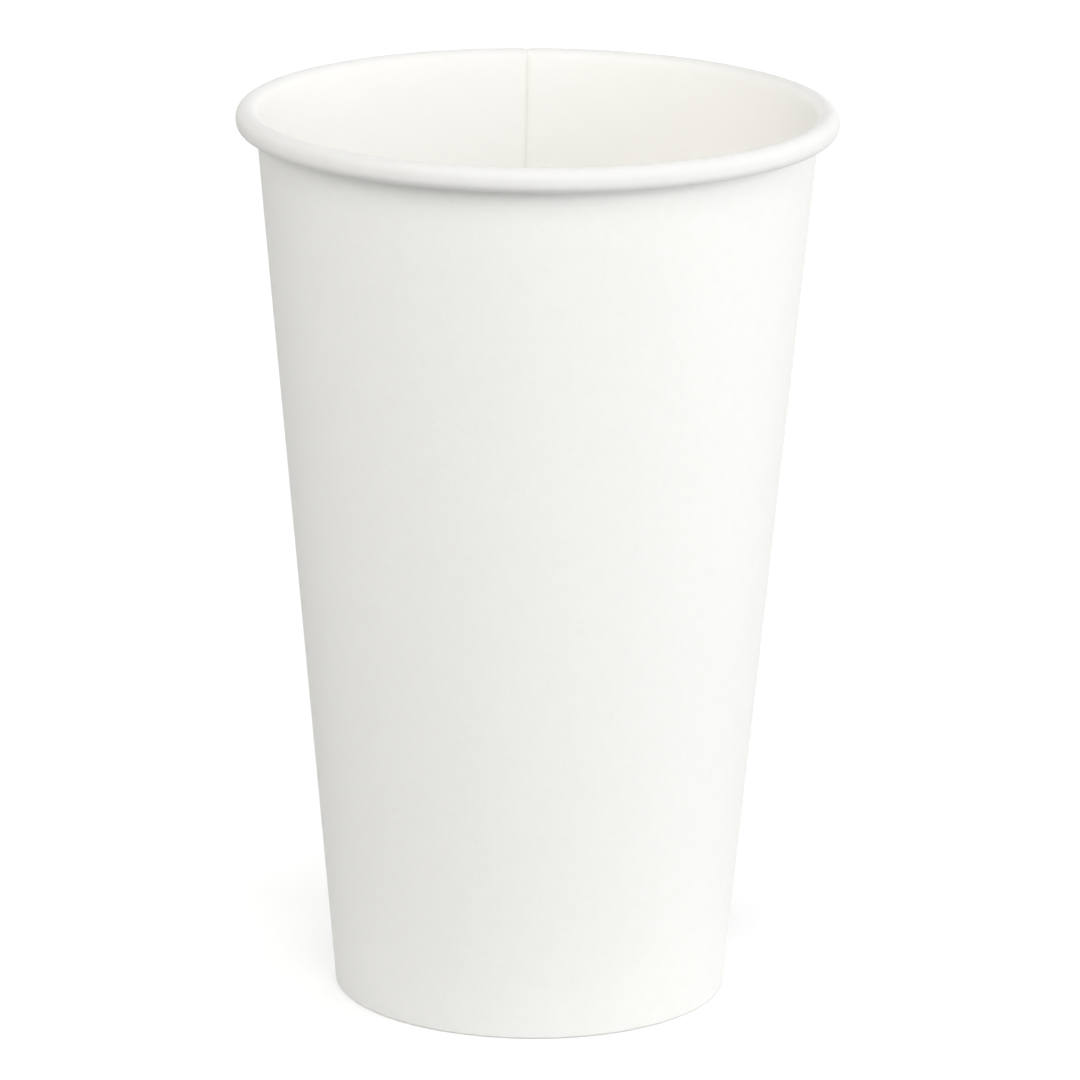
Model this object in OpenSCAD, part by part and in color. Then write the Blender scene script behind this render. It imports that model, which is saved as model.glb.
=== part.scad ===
// Single-wall paper cup for hot drinks, made of two pieces of coated board.
// The side wall is one fan-shaped sheet, wrapped into a cone and sealed along a lapped side seam.
// Its top edge is rolled outwards into the rim, and its foot is folded inwards and up.
// The bottom is a drawn disc with a skirt that points down, and the folded foot holds that skirt.
// Both pieces are a sheet of even thickness that follows a path of straights and bends.
// Sizes are in millimetres. The cup stands on z = 0, with its axis on z.

/* [Cup] */
// Diameter over the rolled rim
rim_d = 90; // [84:0.5:98]
// Height from the table to the top of the rim
height = 136.5; // [100:0.5:170]
// Outside diameter of the side wall, carried down to the table
foot_d = 59.4; // [54:0.2:68]

/* [Side wall] */
// Thickness of the side wall's board
wall_t = 0.4; // [0.32:0.01:0.44]
// Width of the lap, where one edge of the sheet covers the other
lap_w = 8; // [5:0.5:12]
// Width over which the sheet climbs onto the edge that it covers
climb_w = 1.3; // [0.8:0.1:2.5]
// Depth of the groove left inside the cup, beside the covered edge
groove_depth = 0.24; // [0.1:0.02:0.28]
// Width of that groove where it crosses the rolled rim
groove_w = 0.5; // [0.3:0.05:0.7]
// Direction of the covered edge at half height, seen from above, in degrees from the x axis
seam_a = 93.5; // [0:0.5:360]
// Lean of the seam away from the cone's own straight lines, in degrees
seam_lean = 0.8; // [-1:0.1:1]

/* [Rolled rim] */
// Width of the roll, from the inside of the cup to its outer edge
roll_w = 3.3; // [3.1:0.1:4.5]
// Length of the straight stretch on the roll's outer side
roll_flat = 0.5; // [0.3:0.1:1]
// Gap between the roll's tucked-in end and the wall beside it
roll_gap = 0.1; // [0.06:0.02:0.14]
// Turn of the tucked-in end past the wall, in degrees
roll_tuck_a = 75; // [20:5:120]

/* [Foot] */
// Height of the folded hem, inside the foot
hem_h = 7.5; // [5:0.5:9]
// Inside radius of the fold's two corners
fold_in_r = 0.05; // [0.03:0.01:0.1]

/* [Bottom] */
// Height of the bottom panel's upper face above the table
panel_h = 10.5; // [10.5:0.5:14]
// Thickness of the bottom's board
bottom_t = 0.3; // [0.26:0.01:0.4]
// Inside radius of the bend between the panel and its skirt
bend_in_r = 0.6; // [0.3:0.1:1]
// Distance that the skirt's edge stays above the inside of the fold
skirt_lift = 0.4; // [0.2:0.1:1]
// Clearance between the skirt and the board on each side of it
seal_gap = 0.02; // [0.02:0.01:0.04]

/* [Hidden] */
$fn = 128;
board_colour = [0.95, 0.95, 0.94];
bottom_colour = [0.95, 0.94, 0.91];
// Angle between the points of a bend
bend_step = 10;
// Depth to which a seam detail is sunk into the sheet that carries it
bite = roll_gap / 2;

// The roll's first half turn, whose outside sets the rim's diameter and the cup's height
roll_r = (roll_w - wall_t) / 2;
roll_x = (rim_d - roll_w) / 2;
roll_z = height - roll_w / 2;

// Angle of the wall from the vertical: its outer face leaves the foot and meets the roll at a tangent
wall_lean = atan2(roll_x - foot_d / 2, roll_z)
    - asin((roll_r - wall_t / 2) / norm([roll_x - foot_d / 2, roll_z]));

// The roll's second half turn is tighter, so that its end passes inside the wall
roll_pitch = wall_t + roll_gap;
roll_2_r = roll_r - (roll_pitch - roll_flat * sin(wall_lean)) / (1 + cos(wall_lean));
roll_3_r = roll_r - roll_pitch;
roll_rise = roll_flat * cos(wall_lean) - (roll_r - roll_2_r) * sin(wall_lean);

// The fold goes round the skirt, and its flat is what the cup stands on
fold_r = fold_in_r + wall_t / 2;
fold_flat = (bottom_t + 2 * seal_gap - 2 * fold_in_r) / cos(wall_lean);
fold_top_z = wall_t / 2 + fold_r * (1 - sin(wall_lean));
fold_top_x = wall_x(fold_top_z, wall_t / 2);
hem_foot_x = fold_top_x - fold_flat - 2 * fold_r * cos(wall_lean);
hem_foot_z = fold_top_z + 2 * fold_r * sin(wall_lean);
hem_len = (hem_h - hem_foot_z) / cos(wall_lean);
// Length of the straight wall, from the fold to the roll
wall_len = (roll_x - fold_top_x) * sin(wall_lean) + (roll_z - fold_top_z) * cos(wall_lean);

// The bottom's bend ends on the line that the skirt follows down the wall
skirt_depth = wall_t + seal_gap + bottom_t / 2;
bend_r = bend_in_r + bottom_t / 2;
bend_foot_z = panel_h - bottom_t / 2 - bend_r * (1 + sin(wall_lean));
panel_r = wall_x(bend_foot_z, skirt_depth) - bend_r * cos(wall_lean);
skirt_len = (bend_foot_z - wall_t - skirt_lift) / cos(wall_lean);

// Radius at height z of a surface that lies depth under the wall's outer face
function wall_x(z, depth) = foot_d / 2 + z * tan(wall_lean) - depth / cos(wall_lean);

// A place on a path is [x, z, heading], where heading is the angle from straight up towards +x
function ahead(p, length) = [p[0] + length * sin(p[2]), p[1] + length * cos(p[2]), p[2]];

// Places along a bend of radius r, which turns right for a positive angle and left for a negative one
function bend(p, r, angle) =
    let (side = sign(angle), steps = ceil(abs(angle) / bend_step))
    [for (i = [1 : steps])
        let (h = p[2] + angle * i / steps)
        [p[0] + side * r * (cos(p[2]) - cos(h)), p[1] + side * r * (sin(h) - sin(p[2])), h]];

// A path from a start and a list of moves, each [length] for a straight or [radius, angle] for a bend
function path(start, moves, i = 0) =
    i == len(moves) ? [start] :
    let (m = moves[i], run = len(m) == 1 ? [ahead(start, m[0])] : bend(start, m[0], m[1]))
    concat([start], run_path(run, moves, i + 1));
function run_path(run, moves, i) =
    concat([for (k = [0 : 1 : len(run) - 2]) run[k]], path(run[len(run) - 1], moves, i));

// The point that lies a distance to the right of a place on a path
function beside(p, distance) = [p[0] + distance * cos(p[2]), p[1] - distance * sin(p[2])];

// Section of a sheet along a path, between two distances to the right of it
module sheet(path, from, to) {
    last = len(path) - 1;
    polygon(concat(
        [for (i = [0 : last]) beside(path[i], from)],
        [for (i = [0 : last]) beside(path[last - i], to)]));
}

// Hem, fold, wall, then the roll's first half turn, its flat, its second half turn and its tucked-in end
sidewall_path = path(
    [hem_foot_x + hem_len * sin(wall_lean), hem_foot_z + hem_len * cos(wall_lean), 180 + wall_lean],
    [[hem_len], [fold_r, -90 - wall_lean], [fold_flat], [fold_r, wall_lean - 90], [wall_len],
     [roll_r, 180 - wall_lean], [roll_flat], [roll_2_r, 180 + wall_lean], [roll_rise],
     [roll_3_r, roll_tuck_a]]);

// Panel, bend and skirt
bottom_path = path(
    [0, panel_h - bottom_t / 2, 90],
    [[panel_r], [bend_r, 90 + wall_lean], [skirt_len]]);

// Puts its children half way up the covered edge: x points out of the wall, z runs up along the seam
module on_seam() {
    rotate([0, 0, seam_a])
        translate([wall_x(height / 2, 0), 0, height / 2])
            rotate([0, wall_lean, 0])
                rotate([seam_lean, 0, 0])
                    children();
}

// A slab along the seam that takes in the whole sheet, between two distances from the covered edge
module seam_slab(from, to) {
    reach = 2 * roll_w;
    on_seam()
        translate([-reach, from, -height])
            cube([2 * reach, to - from, 2 * height]);
}

// The covering edge of the sheet, as a second thickness on the outside of the first
module lap() {
    intersection() {
        rotate_extrude() sheet(sidewall_path, wall_t / 2 - bite, wall_t * 3 / 2);
        seam_slab(-lap_w, 0);
    }
}

// Extrudes its child along the seam, from a height above the table to the start of the roll
module up_seam(from_z) {
    on_seam()
        translate([0, 0, (from_z - height / 2) / cos(wall_lean)])
            linear_extrude(height = wall_len - (from_z - fold_top_z) / cos(wall_lean))
                children();
}

// The stretch where the sheet climbs from the wall's outer face onto the lap
module climb() {
    sunk = wall_t / 2;
    climb_foot_y = climb_w * (1 + sunk / wall_t);
    up_seam(fold_top_z)
        polygon([[wall_t, 0], [-sunk, climb_foot_y], [-sunk, -climb_w], [bite, -climb_w]]);
}

// The groove beside the covered edge: wide up the inside of the wall, narrow over the roll and the foot
module groove() {
    clear = wall_t;
    groove_foot_y = climb_w * (1 + clear / groove_depth);
    up_seam(panel_h)
        polygon([[groove_depth - wall_t, 0], [-wall_t - clear, groove_foot_y], [-wall_t - clear, 0]]);
    intersection() {
        rotate_extrude() sheet(sidewall_path, -wall_t / 2 - bite, groove_depth - wall_t / 2);
        seam_slab(0, groove_w);
    }
}

module sidewall() {
    color(board_colour)
        difference() {
            union() {
                rotate_extrude() sheet(sidewall_path, -wall_t / 2, wall_t / 2);
                lap();
                climb();
            }
            groove();
            // The lap is pressed flat where the cup stands
            translate([-foot_d, -foot_d, -wall_t * 4]) cube([foot_d * 2, foot_d * 2, wall_t * 4]);
        }
}

module bottom() {
    color(bottom_colour)
        rotate_extrude() sheet(bottom_path, -bottom_t / 2, bottom_t / 2);
}

sidewall();
bottom();
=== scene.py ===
"""Looks of a plain single-wall paper cup for hot drinks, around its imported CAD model.

The cup is two pieces of coated board. Each is built here as the real sheet: a grid that follows
the same path of straights and bends as the CAD solid, with an outside face, a coated inside face
and cut edges of its own. The side wall is one sheet that goes once round the cup, climbs onto its
own first edge and covers it. Sizes are in millimetres unless a comment says otherwise. The cup
stands on z = 0, with its axis on z.
"""

import math

import bpy
import numpy as np
from mathutils import Matrix, Vector

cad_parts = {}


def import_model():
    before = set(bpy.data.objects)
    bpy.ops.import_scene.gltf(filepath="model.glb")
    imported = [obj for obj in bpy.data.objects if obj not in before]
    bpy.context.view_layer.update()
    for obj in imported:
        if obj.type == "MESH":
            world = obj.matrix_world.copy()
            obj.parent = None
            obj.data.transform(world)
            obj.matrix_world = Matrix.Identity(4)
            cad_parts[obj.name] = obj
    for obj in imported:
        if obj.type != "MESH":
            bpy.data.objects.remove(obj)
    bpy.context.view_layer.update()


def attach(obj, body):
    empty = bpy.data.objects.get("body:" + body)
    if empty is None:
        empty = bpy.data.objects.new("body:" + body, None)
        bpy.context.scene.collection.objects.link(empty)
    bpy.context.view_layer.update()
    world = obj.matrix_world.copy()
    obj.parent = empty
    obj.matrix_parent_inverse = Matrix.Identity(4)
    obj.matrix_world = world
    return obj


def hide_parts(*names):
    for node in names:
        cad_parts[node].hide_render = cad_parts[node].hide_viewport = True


MM = 0.001

# The cup, as in the CAD source
RIM_D = 90.0
HEIGHT = 136.5
FOOT_D = 59.4
WALL_T = 0.4
LAP_W = 8.0  # width over which the sheet covers its own first edge
CLIMB_W = 1.3  # width over which it climbs onto that edge
SEAM_A = math.radians(93.5)  # direction of that edge at half height, from +x towards +y
SEAM_LEAN = math.radians(0.8)
ROLL_W = 3.3
ROLL_FLAT = 0.5  # straight stretch between the roll's first two bends
ROLL_GAP = 0.1  # between the roll's turns
ROLL_TUCK_A = math.radians(75)  # how far the roll goes on after one full turn
HEM_H = 7.5  # top of the hem that is folded up inside the foot
FOLD_IN_R = 0.05  # inner radius of the hem's two bends
PANEL_H = 10.5  # top of the bottom's panel
BOTTOM_T = 0.3
BEND_IN_R = 0.6  # inner radius between the panel and its skirt
SKIRT_LIFT = 0.4  # from the fold to the skirt's lower edge
SEAL_GAP = 0.02  # on each side of the skirt

# What follows from those sizes
ROLL_R = (ROLL_W - WALL_T) / 2
ROLL_X = (RIM_D - ROLL_W) / 2
ROLL_Z = HEIGHT - ROLL_W / 2
WALL_LEAN = math.atan2(ROLL_X - FOOT_D / 2, ROLL_Z) - math.asin(
    (ROLL_R - WALL_T / 2) / math.hypot(ROLL_X - FOOT_D / 2, ROLL_Z)
)
# Distance from the tip of the flat sheet's fan to its edge at the foot
FAN_TIP = FOOT_D / 2 / math.sin(WALL_LEAN)

# Detail of the side wall that only the looks have
AROUND = 480  # columns of the mesh, and a multiple of KNURLS
KNURLS = 120  # ribs that are pressed into the hem
KNURL_DEPTH = 0.13
KNURL_MARGIN = 1.0  # plain board above and below them
KNURL_FADE = 0.5
GLUE_T = 0.012  # between the plies of the lap
PRESSED_W = 1.5  # width of the covered edge that is pressed thin
EDGE_DIP = 0.06  # how deep its inside face is pressed, and over what width
EDGE_DIP_W = 0.7

# The board's unevenness: waves with these numbers of lobes round the cup, which turn by up to
# WAVE_TWIST radians per millimetre of height and fade out towards the foot and the rim
WAVE_H = 0.035
WAVE_LOBES = (2, 3, 5, 7, 11)
WAVE_TWIST = 0.05
WAVE_FOOT_FADE = 25
WAVE_RIM_FADE = 12
WAVE_RIM_GAP = 3

# The bottom's panel, which sags in the middle and ripples near its edge
BOTTOM_AROUND = 240  # columns of the mesh
PANEL_CORE = 0.3  # radius inside which the mesh closes on one point
PANEL_SAG = 0.2  # at its centre
RIPPLE_H = 0.03  # of each of the waves below
RIPPLE_LOBES = (2, 3, 4)
RIPPLE_FADE = 4  # width over which they end before the bend
RIPPLE_PHASES = 6.28  # the range that their phases are drawn from, in radians

SEED = 7

# Material slots of both pieces
OUTER, INNER, EDGE = range(3)

# The board's colours, each a pair from one cloud of the sheet's formation to the next
OUTSIDE = (0.938, 0.939, 0.920), (0.950, 0.951, 0.932)
COATED = (0.955, 0.945, 0.917), (0.967, 0.957, 0.929)
# The rolled rim's colour is painted shade: a darker grey than the coated face that stands in for
# the shade on the roll
ROLL_PAINTED_SHADE = (0.855, 0.853, 0.843), (0.871, 0.869, 0.859)
CUT = (0.70, 0.68, 0.63), (0.84, 0.83, 0.80)
FLECK = (0.905, 0.905, 0.885)
# A darker line painted along the lap's covered edge, inside, as painted shade of the groove there,
# and its width
SEAM_PAINTED_SHADE = (0.926, 0.913, 0.883)
SEAM_PAINTED_SHADE_W = 0.6
# The rolled rim's painted shade is blended in over this length
ROLL_FADE = 1.6  # length of sheet over which the coated colour turns into the rolled one

# Depth of the fine relief on each face
NAP = 0.04
COATED_NAP = 0.03
CUT_NAP = 0.06

# The photograph's camera, found from the cup's own edges. The lens fits the sensor's width.
CAMERA_AT = (0.0, -1068.97, 360.96)
CAMERA_AIM = (0.965, 0.0, 69.483)
CAMERA_ROLL = math.radians(0.5775)
LENS = 244.07
SENSOR = 36.0
CLIP = (0.05, 20.0)  # in metres

# The floor, in metres, just under the cup
FLOOR_R = 3.0
FLOOR_SIDES = 96
FLOOR_Z = -0.00002
# Near the cup and away from it: distances in metres, paleness, which is higher near the cup as a
# painted pool of light, and glow for the rays that see the background
FLOOR_FADE = (0.03, 0.075)
FLOOR_PAINTED_POOL = (0.7, 0.53)
FLOOR_GLOW = (0.36, 0.6)
# The distances in metres between which the glow rises to white, because the lamps fade there
FLOOR_FAR = (0.5, 1.5)

# Soft boxes, in metres, aimed at the middle of the cup
MIDDLE = (0.0, 0.0, 0.07)
LAMP_W = 0.9
LAMP_REACH = 1.3
WHITE = (1.0, 1.0, 1.0)
CREAM = (1.0, 0.985, 0.95)
IVORY = (1.0, 0.995, 0.985)
LAMPS = [
    # name, degrees from the camera's side towards +x, degrees up, height in metres, watts, colour
    ("front", 0, 42, 0.9, 10.0, IVORY),
    ("left", -77, 25, 1.1, 7.3, CREAM),
    ("right", 60, 15, 0.9, 8.9, WHITE),
    ("right_back", 120, 15, 0.9, 5.7, WHITE),
    ("back", 180, 35, 1.5, 6.6, WHITE),
    ("top", 0, 89, 0.9, 1.4, WHITE),
]


# Paths: each place is (x, z, heading), where heading is the angle from straight up towards +x.
# Each step of a stretch becomes a row of the mesh.


def straight(path, length, steps):
    """Adds a straight stretch to a path."""
    x, z, heading = path[-1]
    for i in range(1, steps + 1):
        d = length * i / steps
        path.append((x + d * math.sin(heading), z + d * math.cos(heading), heading))


def bend(path, radius, angle, steps):
    """Adds a bend to a path: right for a positive angle, left for a negative one."""
    x, z, heading = path[-1]
    side = math.copysign(1, angle)
    for i in range(1, steps + 1):
        h = heading + angle * i / steps
        across = side * radius * (math.cos(heading) - math.cos(h))
        up = side * radius * (math.sin(h) - math.sin(heading))
        path.append((x + across, z + up, h))


def wall_x(z, depth):
    """Radius at height z of a surface that lies depth under the wall's outer face."""
    return FOOT_D / 2 + z * math.tan(WALL_LEAN) - depth / math.cos(WALL_LEAN)


def sidewall_path():
    """The side wall's middle line, from the hem's edge to the roll's tucked-in end. Also gives the
    rows at which the hem ends and the roll starts."""
    s, c = math.sin(WALL_LEAN), math.cos(WALL_LEAN)
    fold_r = FOLD_IN_R + WALL_T / 2
    fold_flat = (BOTTOM_T + 2 * SEAL_GAP - 2 * FOLD_IN_R) / c
    fold_top_z = WALL_T / 2 + fold_r * (1 - s)
    fold_top_x = wall_x(fold_top_z, WALL_T / 2)
    hem_foot_x = fold_top_x - fold_flat - 2 * fold_r * c
    hem_foot_z = fold_top_z + 2 * fold_r * s
    hem_len = (HEM_H - hem_foot_z) / c
    wall_len = (ROLL_X - fold_top_x) * s + (ROLL_Z - fold_top_z) * c
    pitch = WALL_T + ROLL_GAP
    roll_2_r = ROLL_R - (pitch - ROLL_FLAT * s) / (1 + c)
    roll_rise = ROLL_FLAT * c - (ROLL_R - roll_2_r) * s
    hem_row = 14

    path = [(hem_foot_x + hem_len * s, hem_foot_z + hem_len * c, math.pi + WALL_LEAN)]
    straight(path, hem_len, hem_row)
    bend(path, fold_r, -math.pi / 2 - WALL_LEAN, 5)
    straight(path, fold_flat, 1)
    bend(path, fold_r, WALL_LEAN - math.pi / 2, 5)
    straight(path, wall_len, 26)
    roll_row = len(path) - 1
    bend(path, ROLL_R, math.pi - WALL_LEAN, 14)
    straight(path, ROLL_FLAT, 1)
    bend(path, roll_2_r, math.pi + WALL_LEAN, 12)
    straight(path, roll_rise, 1)
    bend(path, ROLL_R - pitch, ROLL_TUCK_A, 5)
    return np.array(path), hem_row, roll_row


def bottom_path():
    """The bottom's middle line, from next to its centre, over the bend and down the skirt."""
    bend_r = BEND_IN_R + BOTTOM_T / 2
    bend_foot_z = PANEL_H - BOTTOM_T / 2 - bend_r * (1 + math.sin(WALL_LEAN))
    depth = WALL_T + SEAL_GAP + BOTTOM_T / 2
    panel_r = wall_x(bend_foot_z, depth) - bend_r * math.cos(WALL_LEAN)
    skirt_len = (bend_foot_z - WALL_T - SKIRT_LIFT) / math.cos(WALL_LEAN)
    path = [(PANEL_CORE, PANEL_H - BOTTOM_T / 2, math.pi / 2)]
    straight(path, panel_r - PANEL_CORE, 24)
    bend(path, bend_r, math.pi / 2 + WALL_LEAN, 8)
    straight(path, skirt_len, 6)
    return np.array(path)


def along(path):
    """Distance along a path at each of its places."""
    steps = np.hypot(*np.diff(path[:, :2], axis=0).T)
    return np.concatenate([[0], np.cumsum(steps)])


def roll_start():
    """Distance from the fan's tip at which the flat sheet starts to roll."""
    path, hem_row, roll_row = sidewall_path()
    edge = along(path)
    return FAN_TIP + edge[roll_row] - edge[hem_row]


def smooth(t):
    """0 below 0, 1 above 1, and an even S between."""
    t = np.clip(t, 0, 1)
    return t * t * (3 - 2 * t)


# Meshes


def quads(first, count_a, count_b, step_a, step_b):
    """Faces of a grid whose vertex (a, b) has the index first + a * step_a + b * step_b."""
    a, b = np.meshgrid(np.arange(count_a - 1), np.arange(count_b - 1), indexing="ij")
    corner = (first + a * step_a + b * step_b).ravel()
    return np.stack([corner, corner + step_b, corner + step_a + step_b, corner + step_a], 1)


def make_mesh(name, points, parts, uv, materials):
    """An object from points in millimetres. parts is a list of (faces, material index), and an edge
    between two materials is sharp. uv gives each point's place on the flat sheet, in metres."""
    faces = [face for part, _ in parts for face in part.tolist()]
    index = np.concatenate([np.full(len(part), m) for part, m in parts])
    mesh = bpy.data.meshes.new(name)
    mesh.from_pydata((points * MM).tolist(), [], faces)
    mesh.polygons.foreach_set("material_index", index.astype(np.int32))
    mesh.polygons.foreach_set("use_smooth", np.ones(len(faces), bool))
    for m in materials:
        mesh.materials.append(m)
    loops = np.zeros(len(mesh.loops), np.int32)
    mesh.loops.foreach_get("vertex_index", loops)
    layer = mesh.uv_layers.new(name="blank")
    layer.uv.foreach_set("vector", uv[loops].astype(np.float32).ravel())

    edges = np.zeros(len(mesh.loops), np.int32)
    mesh.loops.foreach_get("edge_index", edges)
    of_loop = np.repeat(index, [len(f) for f in faces])
    low = np.full(len(mesh.edges), len(materials))
    high = np.full(len(mesh.edges), -1)
    np.minimum.at(low, edges, of_loop)
    np.maximum.at(high, edges, of_loop)
    sharp = mesh.attributes.new("sharp_edge", "BOOLEAN", "EDGE")
    sharp.data.foreach_set("value", low != high)

    mesh.validate()
    obj = bpy.data.objects.new(name, mesh)
    bpy.context.scene.collection.objects.link(obj)
    return obj


def place(path, turn, offset):
    """Points of a sheet, from its distance to the right of the path and its direction round the
    cup, each per column and place of the path."""
    x, z, heading = path.T
    r = x + offset * np.cos(heading)
    up = z - offset * np.sin(heading)
    return np.stack([r * np.cos(turn), r * np.sin(turn), up], -1)


def unevenness(turn, z):
    """How far the board stands off its true shape, the same for both plies of the lap."""
    rng = np.random.default_rng(SEED)
    total = np.zeros(np.broadcast(turn, z).shape)
    for lobes in WAVE_LOBES:
        twist, phase = rng.uniform(-WAVE_TWIST, WAVE_TWIST), rng.uniform(0, 2 * math.pi)
        total = total + np.sin(lobes * turn + twist * z + phase) / lobes
    above_foot = smooth((z - PANEL_H) / WAVE_FOOT_FADE)
    below_rim = smooth((ROLL_Z - WAVE_RIM_GAP - z) / WAVE_RIM_FADE)
    return WAVE_H * total * (above_foot * below_rim)


def make_sidewall(materials):
    """The side wall, as one sheet with two faces and four cut edges."""
    path, hem_row, _ = sidewall_path()
    # Each column of the sheet lies at an angle plus a width, clockwise from the covered edge: the
    # lap, once round the cup, the climb onto the lap's first ply, and the lap again
    full = 2 * math.pi
    lap = np.concatenate([np.linspace(0, PRESSED_W, 7), np.linspace(PRESSED_W, LAP_W, 5)[1:]])
    f = np.linspace(0, 1, AROUND + 1)[1:-1]
    climb = np.linspace(-CLIMB_W, 0, 9)
    angle = np.concatenate([0 * lap, full * f, full + 0 * climb, full + 0 * lap[1:]])
    width = np.concatenate([lap, LAP_W - f * (LAP_W + CLIMB_W), climb, lap[1:]])
    # The covered ply is counted to well past the lap, where the two plies no longer meet
    covered = angle < 1
    covering = angle >= full
    # Heat and pressure thin the covered edge, so that the sheet climbs over it in one soft S
    climbed = smooth((width + CLIMB_W) / (PRESSED_W + CLIMB_W)) * (WALL_T + GLUE_T)
    lift = np.where(covering, climbed, 0)
    cover_face = np.where(covered, climbed - GLUE_T - WALL_T / 2, WALL_T / 2)
    edge_dip = np.where(covered, EDGE_DIP * (1 - smooth(width / EDGE_DIP_W)), 0)
    x, z, _ = path.T
    aside = -(z - HEIGHT / 2) * math.tan(SEAM_LEAN) / math.cos(WALL_LEAN)
    run = angle[:, None] + width[:, None] / x[None, :]
    turn = SEAM_A + np.arcsin(aside / x)[None, :] - run
    ply = lift[:, None] + unevenness(turn, z[None, :])

    # The knurl is pressed into the hem's visible face
    edge = along(path)
    hem_len = edge[hem_row]
    from_top = smooth((edge - KNURL_MARGIN) / KNURL_FADE)
    from_foot = smooth((hem_len - KNURL_MARGIN - edge) / KNURL_FADE)
    band = from_top * from_foot
    ribs = 0.5 - 0.5 * np.cos(full * np.arange(len(angle)) / (AROUND / KNURLS))
    pressed = KNURL_DEPTH * ribs[:, None] * band[None, :]

    outer_face = np.minimum(WALL_T / 2, cover_face)[:, None]
    outside = place(path, turn, ply + outer_face - pressed)
    inside = place(path, turn, ply - WALL_T / 2 + edge_dip[:, None])
    # Where the plies meet at the foot, they are kept apart and off the ground
    lowest = np.where(covered, 2 * GLUE_T, 0.0)[:, None]
    outside[..., 2] = np.maximum(outside[..., 2], lowest)
    inside[..., 2] = np.maximum(inside[..., 2], GLUE_T)
    points = np.concatenate([outside.reshape(-1, 3), inside.reshape(-1, 3)])

    cols, rows = turn.shape
    n = cols * rows
    outer = quads(0, cols, rows, rows, 1)
    inner = quads(n, cols, rows, rows, 1)[:, ::-1]
    edges = [
        quads(0, cols, 2, rows, n)[:, ::-1],
        quads(rows - 1, cols, 2, rows, n),
        quads(0, rows, 2, 1, n),
        quads(n - rows, rows, 2, 1, n)[:, ::-1],
    ]

    # The flat blank is a fan: a point's distance from the fan's tip and its angle there
    reach = FAN_TIP + edge - edge[hem_row]
    fan = run * math.sin(WALL_LEAN)
    blank = np.stack([reach * np.sin(fan), reach * np.cos(fan)], -1) * MM
    uv = np.concatenate([blank.reshape(-1, 2)] * 2)
    parts = [(outer, OUTER), (inner, INNER)] + [(e, EDGE) for e in edges]
    return make_mesh("side_wall", points, parts, uv, materials)


def make_bottom(materials):
    """The drawn bottom: a panel, a bend and a skirt that points down."""
    path = bottom_path()
    cols, rows = BOTTOM_AROUND, len(path)
    turn = np.linspace(0, 2 * math.pi, cols, endpoint=False)[:, None] + 0 * path[:, 0]
    x, _, heading = path.T
    flat = np.isclose(heading, math.pi / 2)
    panel_r = x[flat][-1]
    outwards = smooth(x / panel_r)
    rng = np.random.default_rng(SEED + 1)
    ripple = 0
    for lobes in RIPPLE_LOBES:
        phase = rng.uniform(0, RIPPLE_PHASES)
        ripple = ripple + np.sin(lobes * turn + phase) * RIPPLE_H
    ripple = ripple * outwards * smooth((panel_r - x) / RIPPLE_FADE)
    sink = (PANEL_SAG * (1 - outwards) - ripple) * flat

    below = place(path, turn, BOTTOM_T / 2 + sink)
    above = place(path, turn, -BOTTOM_T / 2 + sink)
    n = cols * rows
    low, high = below[:, 0, 2].mean(), above[:, 0, 2].mean()
    centres = [[0, 0, low], [0, 0, high]]
    points = np.concatenate([below.reshape(-1, 3), above.reshape(-1, 3), centres])

    # The first vertex of each column and of the next one round
    a = np.arange(cols) * rows
    b = np.roll(a, -1)

    def band(first_a, first_b):
        """Quads round the ring, between two rows of vertices."""
        return np.stack([first_a + a, first_a + b, first_b + b, first_b + a], 1)

    centre_low, centre_high = np.full(cols, 2 * n), np.full(cols, 2 * n + 1)
    parts = [
        (np.concatenate([band(j, j + 1) for j in range(rows - 1)]), OUTER),
        (np.concatenate([band(n + j + 1, n + j) for j in range(rows - 1)]), INNER),
        (band(rows - 1, n + rows - 1), EDGE),
        (np.stack([centre_low, b, a], 1), OUTER),
        (np.stack([centre_high, n + a, n + b], 1), INNER),
    ]
    return make_mesh("bottom_disc", points, parts, points[:, :2] * MM, materials)


# Materials


class Nodes:
    """A node tree, with short ways to add and link nodes."""

    def __init__(self, tree):
        self.tree = tree

    def add(self, kind, inputs=(), **settings):
        """Adds a node. inputs maps a socket's name or number to a value or to an output that feeds
        it."""
        node = self.tree.nodes.new(kind)
        for key, value in settings.items():
            setattr(node, key, value)
        for key, value in dict(inputs).items():
            self.feed(node.inputs[key], value)
        return node

    def feed(self, socket, value):
        """Links an output to a socket, or sets the socket's value."""
        if isinstance(value, bpy.types.NodeSocket):
            self.tree.links.new(value, socket)
        else:
            socket.default_value = value

    def calc(self, operation, *values):
        """A sum, product or the like of values or outputs."""
        return self.add("ShaderNodeMath", enumerate(values), operation=operation).outputs[0]

    def length(self, vector):
        """Length of a vector."""
        node = self.add("ShaderNodeVectorMath", {0: vector}, operation="LENGTH")
        return node.outputs["Value"]

    def ranged(self, value, low, high, start=0.3, end=0.7, kind="LINEAR"):
        """Maps a value from start..end to low..high."""
        return self.add(
            "ShaderNodeMapRange",
            {0: value, 1: start, 2: end, 3: low, 4: high},
            interpolation_type=kind,
        ).outputs[0]

    def mixed(self, factor, a, b):
        """Mixes two colours or outputs."""
        a, b = (c if isinstance(c, bpy.types.NodeSocket) else (*c, 1.0) for c in (a, b))
        return self.add("ShaderNodeMix", {0: factor, 6: a, 7: b}, data_type="RGBA").outputs[2]


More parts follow.
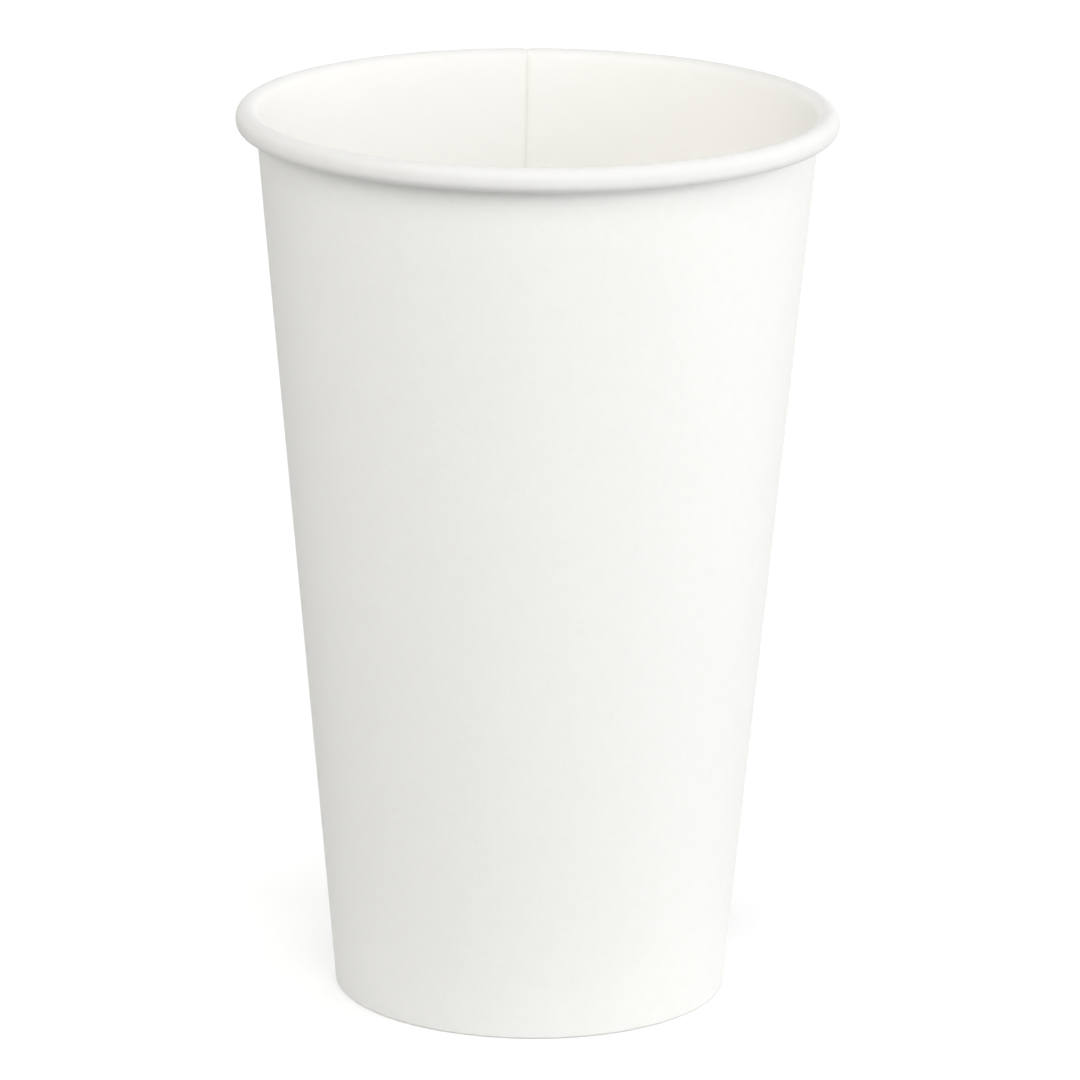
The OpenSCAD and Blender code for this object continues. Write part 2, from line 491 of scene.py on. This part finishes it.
class Board(Nodes):
    """A material of board, whose textures lie on the flat sheet."""

    def __init__(self, name):
        self.material = bpy.data.materials.new(name)
        self.material.use_nodes = True
        super().__init__(self.material.node_tree)
        self.shader = self.tree.nodes["Principled BSDF"]
        self.blank = self.add("ShaderNodeUVMap", uv_map="blank").outputs["UV"]

    def noise(self, stretch, detail, roughness):
        """Noise on the flat sheet, 0 to 1. stretch is the number of features per metre, across and
        along the sheet."""
        at = self.add("ShaderNodeMapping", {"Vector": self.blank, "Scale": (*stretch, 1.0)})
        inputs = {"Vector": at.outputs[0], "Scale": 1.0, "Detail": detail, "Roughness": roughness}
        return self.add("ShaderNodeTexNoise", inputs, noise_dimensions="2D").outputs["Fac"]

    def seam_painted_shade(self):
        """Mask of the painted shade along the lap's covered edge: 1 there, inside, on both of the
        plies that meet there, and 0 away from it."""
        full = 2 * math.pi * math.sin(WALL_LEAN)  # once round the cup, on the fan
        shade_lines = []
        for across in ((1, 0, 0), (math.cos(full), -math.sin(full), 0)):
            inputs = {0: self.blank, 1: across}
            aside = self.add("ShaderNodeVectorMath", inputs, operation="DOT_PRODUCT")
            near = self.calc("ABSOLUTE", aside.outputs["Value"])
            shade_lines.append(self.ranged(near, 1, 0, 0, SEAM_PAINTED_SHADE_W * MM, "SMOOTHSTEP"))
        return self.calc("MAXIMUM", *shade_lines)

    def surface(self, colour, roughness, height, strength, depth):
        """Feeds the shader its colour, roughness and relief, with depth in millimetres, and gives
        the material."""
        relief = {"Height": height, "Strength": strength, "Distance": depth * MM}
        bump = self.add("ShaderNodeBump", relief).outputs[0]
        feeds = {"Base Color": colour, "Roughness": roughness, "Normal": bump}
        for name, value in feeds.items():
            self.feed(self.shader.inputs[name], value)
        return self.material


def outside_board():
    """Uncoated white board: cloudy with the sheet's formation, with a nap of fine fibres that run
    up the cup, and faint flecks."""
    n = Board("board_outside")
    clouds = n.noise((420, 420), 4, 0.6)
    fibres = n.noise((4200, 1500), 5, 0.6)
    flecks = n.noise((1900, 520), 2, 0.5)
    base = n.mixed(n.ranged(clouds, 0, 1), *OUTSIDE)
    base = n.mixed(n.ranged(flecks, 0, 0.5, 0.66, 0.8), base, FLECK)
    n.shader.inputs["Specular IOR Level"].default_value = 0.12
    relief = n.calc("MULTIPLY_ADD", clouds, 1.5, fibres)
    return n.surface(base, n.ranged(clouds, 0.97, 0.88), relief, 0.8, NAP)


def inside_board(name, seamed):
    """The same board under a thin clear coating: smoother, a little glossy and a little warmer.
    Where it is stretched and rubbed into the rolled rim, it is rougher, and its colour there turns
    a darker grey, which is painted shade. If it is seamed, a faint darker line of painted shade
    lies along the lap's covered edge."""
    n = Board(name)
    clouds = n.noise((380, 380), 4, 0.6)
    fibres = n.noise((2600, 1100), 4, 0.55)
    start = roll_start() * MM
    # Over the rolled rim the coated colour turns into painted shade, and the roughness rises
    roll = n.ranged(n.length(n.blank), 0, 1, start, start + ROLL_FADE * MM)
    cloudy = n.ranged(clouds, 0, 1)
    base = n.mixed(roll, n.mixed(cloudy, *COATED), n.mixed(cloudy, *ROLL_PAINTED_SHADE))
    # A darker line of painted shade along the lap's covered edge
    if seamed:
        base = n.mixed(n.seam_painted_shade(), base, SEAM_PAINTED_SHADE)
    n.shader.inputs["Specular IOR Level"].default_value = 0.25
    roughness = n.calc("MULTIPLY_ADD", roll, 0.28, n.ranged(fibres, 0.55, 0.68))
    relief = n.calc("MULTIPLY_ADD", clouds, 1.5, fibres)
    return n.surface(base, roughness, relief, 0.3, COATED_NAP)


def cut_board():
    """The raw edge of the board, where the knife left its fibres open."""
    n = Board("board_edge")
    plies = n.noise((5200, 5200), 6, 0.7)
    base = n.mixed(n.ranged(plies, 0, 1), *CUT)
    return n.surface(base, n.ranged(plies, 0.88, 0.98), plies, 0.6, CUT_NAP)


# Stage


def background_rays(n):
    """1 for the rays that should meet a white background: the camera's, and those that are seen in
    gloss or through something clear."""
    seen = n.add("ShaderNodeLightPath").outputs
    glossy = n.calc("MAXIMUM", seen["Is Camera Ray"], seen["Is Glossy Ray"])
    return n.calc("MAXIMUM", glossy, seen["Is Transmission Ray"])


def make_floor():
    """A wide pale floor, paler near the cup as a painted pool of light. The camera sees it as
    white, and it keeps the cup's shadow.
    """
    mesh = bpy.data.meshes.new("floor")
    ring = [
        (FLOOR_R * math.cos(a), FLOOR_R * math.sin(a), FLOOR_Z)
        for a in np.linspace(0, 2 * math.pi, FLOOR_SIDES, endpoint=False)
    ]
    mesh.from_pydata(ring, [], [list(range(len(ring)))])
    floor = bpy.data.objects.new("floor", mesh)
    bpy.context.scene.collection.objects.link(floor)

    material = bpy.data.materials.new("floor")
    material.use_nodes = True
    material.node_tree.nodes.clear()
    n = Nodes(material.node_tree)
    distance = n.length(n.add("ShaderNodeTexCoord").outputs["Object"])
    # Painted pool of light: the floor is paler near the cup
    painted_pool = n.ranged(distance, *FLOOR_PAINTED_POOL, *FLOOR_FADE)
    near_glow = n.ranged(distance, *FLOOR_GLOW, *FLOOR_FADE)
    far_glow = n.ranged(distance, 0.0, 1 - FLOOR_GLOW[1], *FLOOR_FAR)
    power = n.calc("MULTIPLY", background_rays(n), n.calc("ADD", near_glow, far_glow))
    diffuse = n.add("ShaderNodeBsdfDiffuse", {"Color": painted_pool})
    glow = n.add("ShaderNodeEmission", {"Strength": power})
    both = n.add("ShaderNodeAddShader", {0: diffuse.outputs[0], 1: glow.outputs[0]})
    n.add("ShaderNodeOutputMaterial", {"Surface": both.outputs[0]})
    mesh.materials.append(material)


def make_world():
    """A white backdrop for what the camera and reflections see, which adds no light of its own."""
    world = bpy.data.worlds.new("studio")
    bpy.context.scene.world = world
    world.use_nodes = True
    world.node_tree.nodes.clear()
    n = Nodes(world.node_tree)
    inputs = {"Color": (*WHITE, 1.0), "Strength": background_rays(n)}
    white = n.add("ShaderNodeBackground", inputs)
    n.add("ShaderNodeOutputWorld", {"Surface": white.outputs[0]})


def make_lamp(name, round_a, up_a, tall, watts, colour):
    """A soft box that is aimed at the middle of the cup."""
    a, e = math.radians(round_a), math.radians(up_a)
    to_lamp = Vector((math.sin(a) * math.cos(e), -math.cos(a) * math.cos(e), math.sin(e)))
    data = bpy.data.lights.new(name, "AREA")
    data.shape = "RECTANGLE"
    data.size = LAMP_W
    data.size_y = tall
    data.energy = watts
    data.color = colour
    lamp = bpy.data.objects.new(name, data)
    bpy.context.scene.collection.objects.link(lamp)
    lamp.location = Vector(MIDDLE) + LAMP_REACH * to_lamp
    lamp.rotation_euler = to_lamp.to_track_quat("Z", "Y").to_euler()


def make_camera():
    """The photograph's view, which is turned a little about its own axis."""
    at, aim = Vector(CAMERA_AT) * MM, Vector(CAMERA_AIM) * MM
    forward = (aim - at).normalized()
    level = forward.cross(Vector((0, 0, 1))).normalized()
    upright = level.cross(forward)
    c, s = math.cos(CAMERA_ROLL), math.sin(CAMERA_ROLL)
    right, up = level * c + upright * s, upright * c - level * s
    data = bpy.data.cameras.new("camera")
    data.sensor_width = SENSOR
    data.lens = LENS
    data.clip_start, data.clip_end = CLIP
    camera = bpy.data.objects.new("camera", data)
    bpy.context.scene.collection.objects.link(camera)
    turn = Matrix((right, up, -forward)).transposed().to_4x4()
    camera.matrix_world = Matrix.Translation(at) @ turn
    bpy.context.scene.camera = camera


def main():
    """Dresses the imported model, on its stage."""
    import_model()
    bpy.context.scene.view_settings.view_transform = "Standard"

    # Materials go in the order of the slots
    outside, cut = outside_board(), cut_board()
    sidewall = make_sidewall([outside, inside_board("board_inside", True), cut])
    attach(sidewall, "root")
    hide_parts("sidewall")
    bottom = make_bottom([outside, inside_board("bottom_inside", False), cut])
    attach(bottom, "root")
    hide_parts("bottom")

    make_floor()
    make_world()
    for lamp in LAMPS:
        make_lamp(*lamp)
    make_camera()


main()
